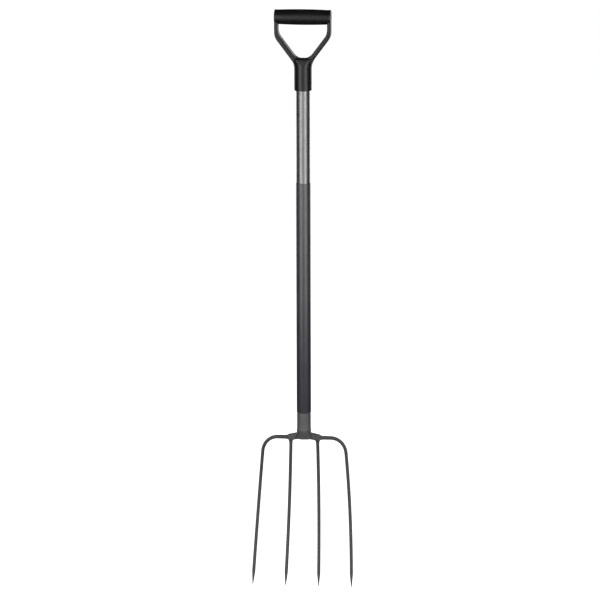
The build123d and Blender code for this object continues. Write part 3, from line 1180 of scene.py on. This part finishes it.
def overhead(name, height, size, glow):
    deselect_all()
    bpy.ops.object.light_add(type="AREA", location=(0, 0, height))
    light = bpy.context.active_object
    light.name = name
    light.data.shape = "SQUARE"
    light.data.size = size
    light.data.energy = glow * math.pi * size * size
    light.visible_camera = False


def make_lights():
    """Two tall soft boxes in front, a dimmer screen between them, and weaker boxes behind."""
    front = math.degrees(view_azimuth)
    soft_box("left_box", front - key_turn, box_distance, key_width, box_height, left_glow)
    soft_box("right_box", front + key_turn, box_distance, key_width, box_height, right_glow)
    soft_box("front_screen", front, screen_distance, screen_width, screen_height, screen_glow)
    soft_box("back_left_box", front - back_turn, box_distance, back_width, box_height, back_glow)
    soft_box("back_right_box", front + back_turn, box_distance, back_width, box_height, back_glow)
    overhead("top_box", top_height, top_size, top_glow)


def make_floor_paper():
    """Pale paper. It is lit by its own glow where it is looked at, and dim in reflections."""
    material, tree, shader = new_material("floor_paper", Roughness=0.9)
    fibre = use_group(tree, grain_group, Scale=60.0, Mottle_Scale=3.0)
    paper = mix_colours(tree, ramp(tree, fibre["Mottle"], *noise_spread), grey(paper_dark),
                        grey(paper_pale))
    tree.links.new(paper, shader["Base Color"])
    tree.links.new(ramp(tree, fibre["Height"], *noise_spread, *paper_rough), shader["Roughness"])
    seen = place(tree, "ShaderNodeLightPath").outputs["Is Camera Ray"]
    glow = place(tree, "ShaderNodeEmission", {"Color": grey(1.0), "Strength": 1.0})
    dim = place(tree, "ShaderNodeBsdfDiffuse", {"Color": grey(paper_in_reflections)})
    lit = place(tree, "ShaderNodeAddShader", {0: tree.nodes["Principled BSDF"].outputs[0],
                                              1: glow.outputs[0]})
    shown = place(tree, "ShaderNodeMixShader", {0: seen, 1: dim.outputs[0], 2: lit.outputs[0]})
    tree.links.new(shown.outputs[0], tree.nodes["Material Output"].inputs["Surface"])
    return material


def make_floor():
    deselect_all()
    bpy.ops.mesh.primitive_plane_add(size=floor_size, location=(0, 0, cad_low.z - floor_gap))
    floor = settle("floor")
    floor.data.materials.append(make_floor_paper())


def make_surroundings():
    """White where it is looked at, and a dim grey room for light and reflections."""
    world = bpy.data.worlds.new("studio")
    bpy.context.scene.world = world
    world.use_nodes = True
    tree = world.node_tree
    seen = place(tree, "ShaderNodeLightPath").outputs["Is Camera Ray"]
    room = place(tree, "ShaderNodeBackground", {"Color": grey(1.0), "Strength": room_glow})
    white = place(tree, "ShaderNodeBackground", {"Color": grey(1.0), "Strength": 1.0})
    both = place(tree, "ShaderNodeMixShader", {0: seen, 1: room.outputs[0], 2: white.outputs[0]})
    tree.links.new(both.outputs[0], tree.nodes["World Output"].inputs["Surface"])
    bpy.context.scene.view_settings.view_transform = "Standard"


# ---------------------------------------------------------------- putting the fork together

make_camera()
make_surroundings()
make_floor()
make_lights()

# Three copies of one paint: darker on the tines for painted shade, brighter on the neck for painted
# light
tine_paint_painted_shade = make_head_paint("head_paint_tines_painted_shade", tine_painted_shade_level)
yoke_paint_painted_light = make_head_paint("head_paint_yoke_painted_light", yoke_painted_light_level)
neck_paint_painted_light = make_head_paint("head_paint_neck_painted_light", neck_painted_light_level)
right_inner = make_inner_tine()
left_inner = mirrored_copy(right_inner, "inner_tine_forged_left")
right_outer = make_outer_tine()
left_outer = mirrored_copy(right_outer, "outer_tine_forged_left")
finish_piece(right_inner, ["inner_tine_right"], tine_paint_painted_shade)
finish_piece(left_inner, ["inner_tine_left"], tine_paint_painted_shade)
finish_piece(right_outer, ["outer_tine_right"], tine_paint_painted_shade)
finish_piece(left_outer, ["outer_tine_left"], tine_paint_painted_shade)
finish_piece(make_yoke(), ["shoulder_yoke"], yoke_paint_painted_light)
finish_piece(make_tine_beads(), ["tine_welds"], yoke_paint_painted_light)
finish_piece(make_neck(), ["neck_tube"], neck_paint_painted_light)
finish_piece(make_neck_bead(), ["neck_weld"], yoke_paint_painted_light)
finish_piece(make_shaft(), ["shaft_tube"], make_shaft_steel())
finish_piece(make_sleeve(), ["shaft_sleeve"], make_sleeve_plastic())
finish_piece(make_handle(), ["handle_body"], make_handle_plastic())
finish_piece(make_grip(), ["handle_grip"], make_grip_rubber())

small_parts = {
    "neck_pins": make_plated_steel("pin_steel_turned", pin_level, pin_rough),
    "handle_screw": make_plated_steel("screw_zinc_plated", screw_level, screw_rough),
}
for node, finish in small_parts.items():
    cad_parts[node].data.materials.clear()
    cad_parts[node].data.materials.append(finish)
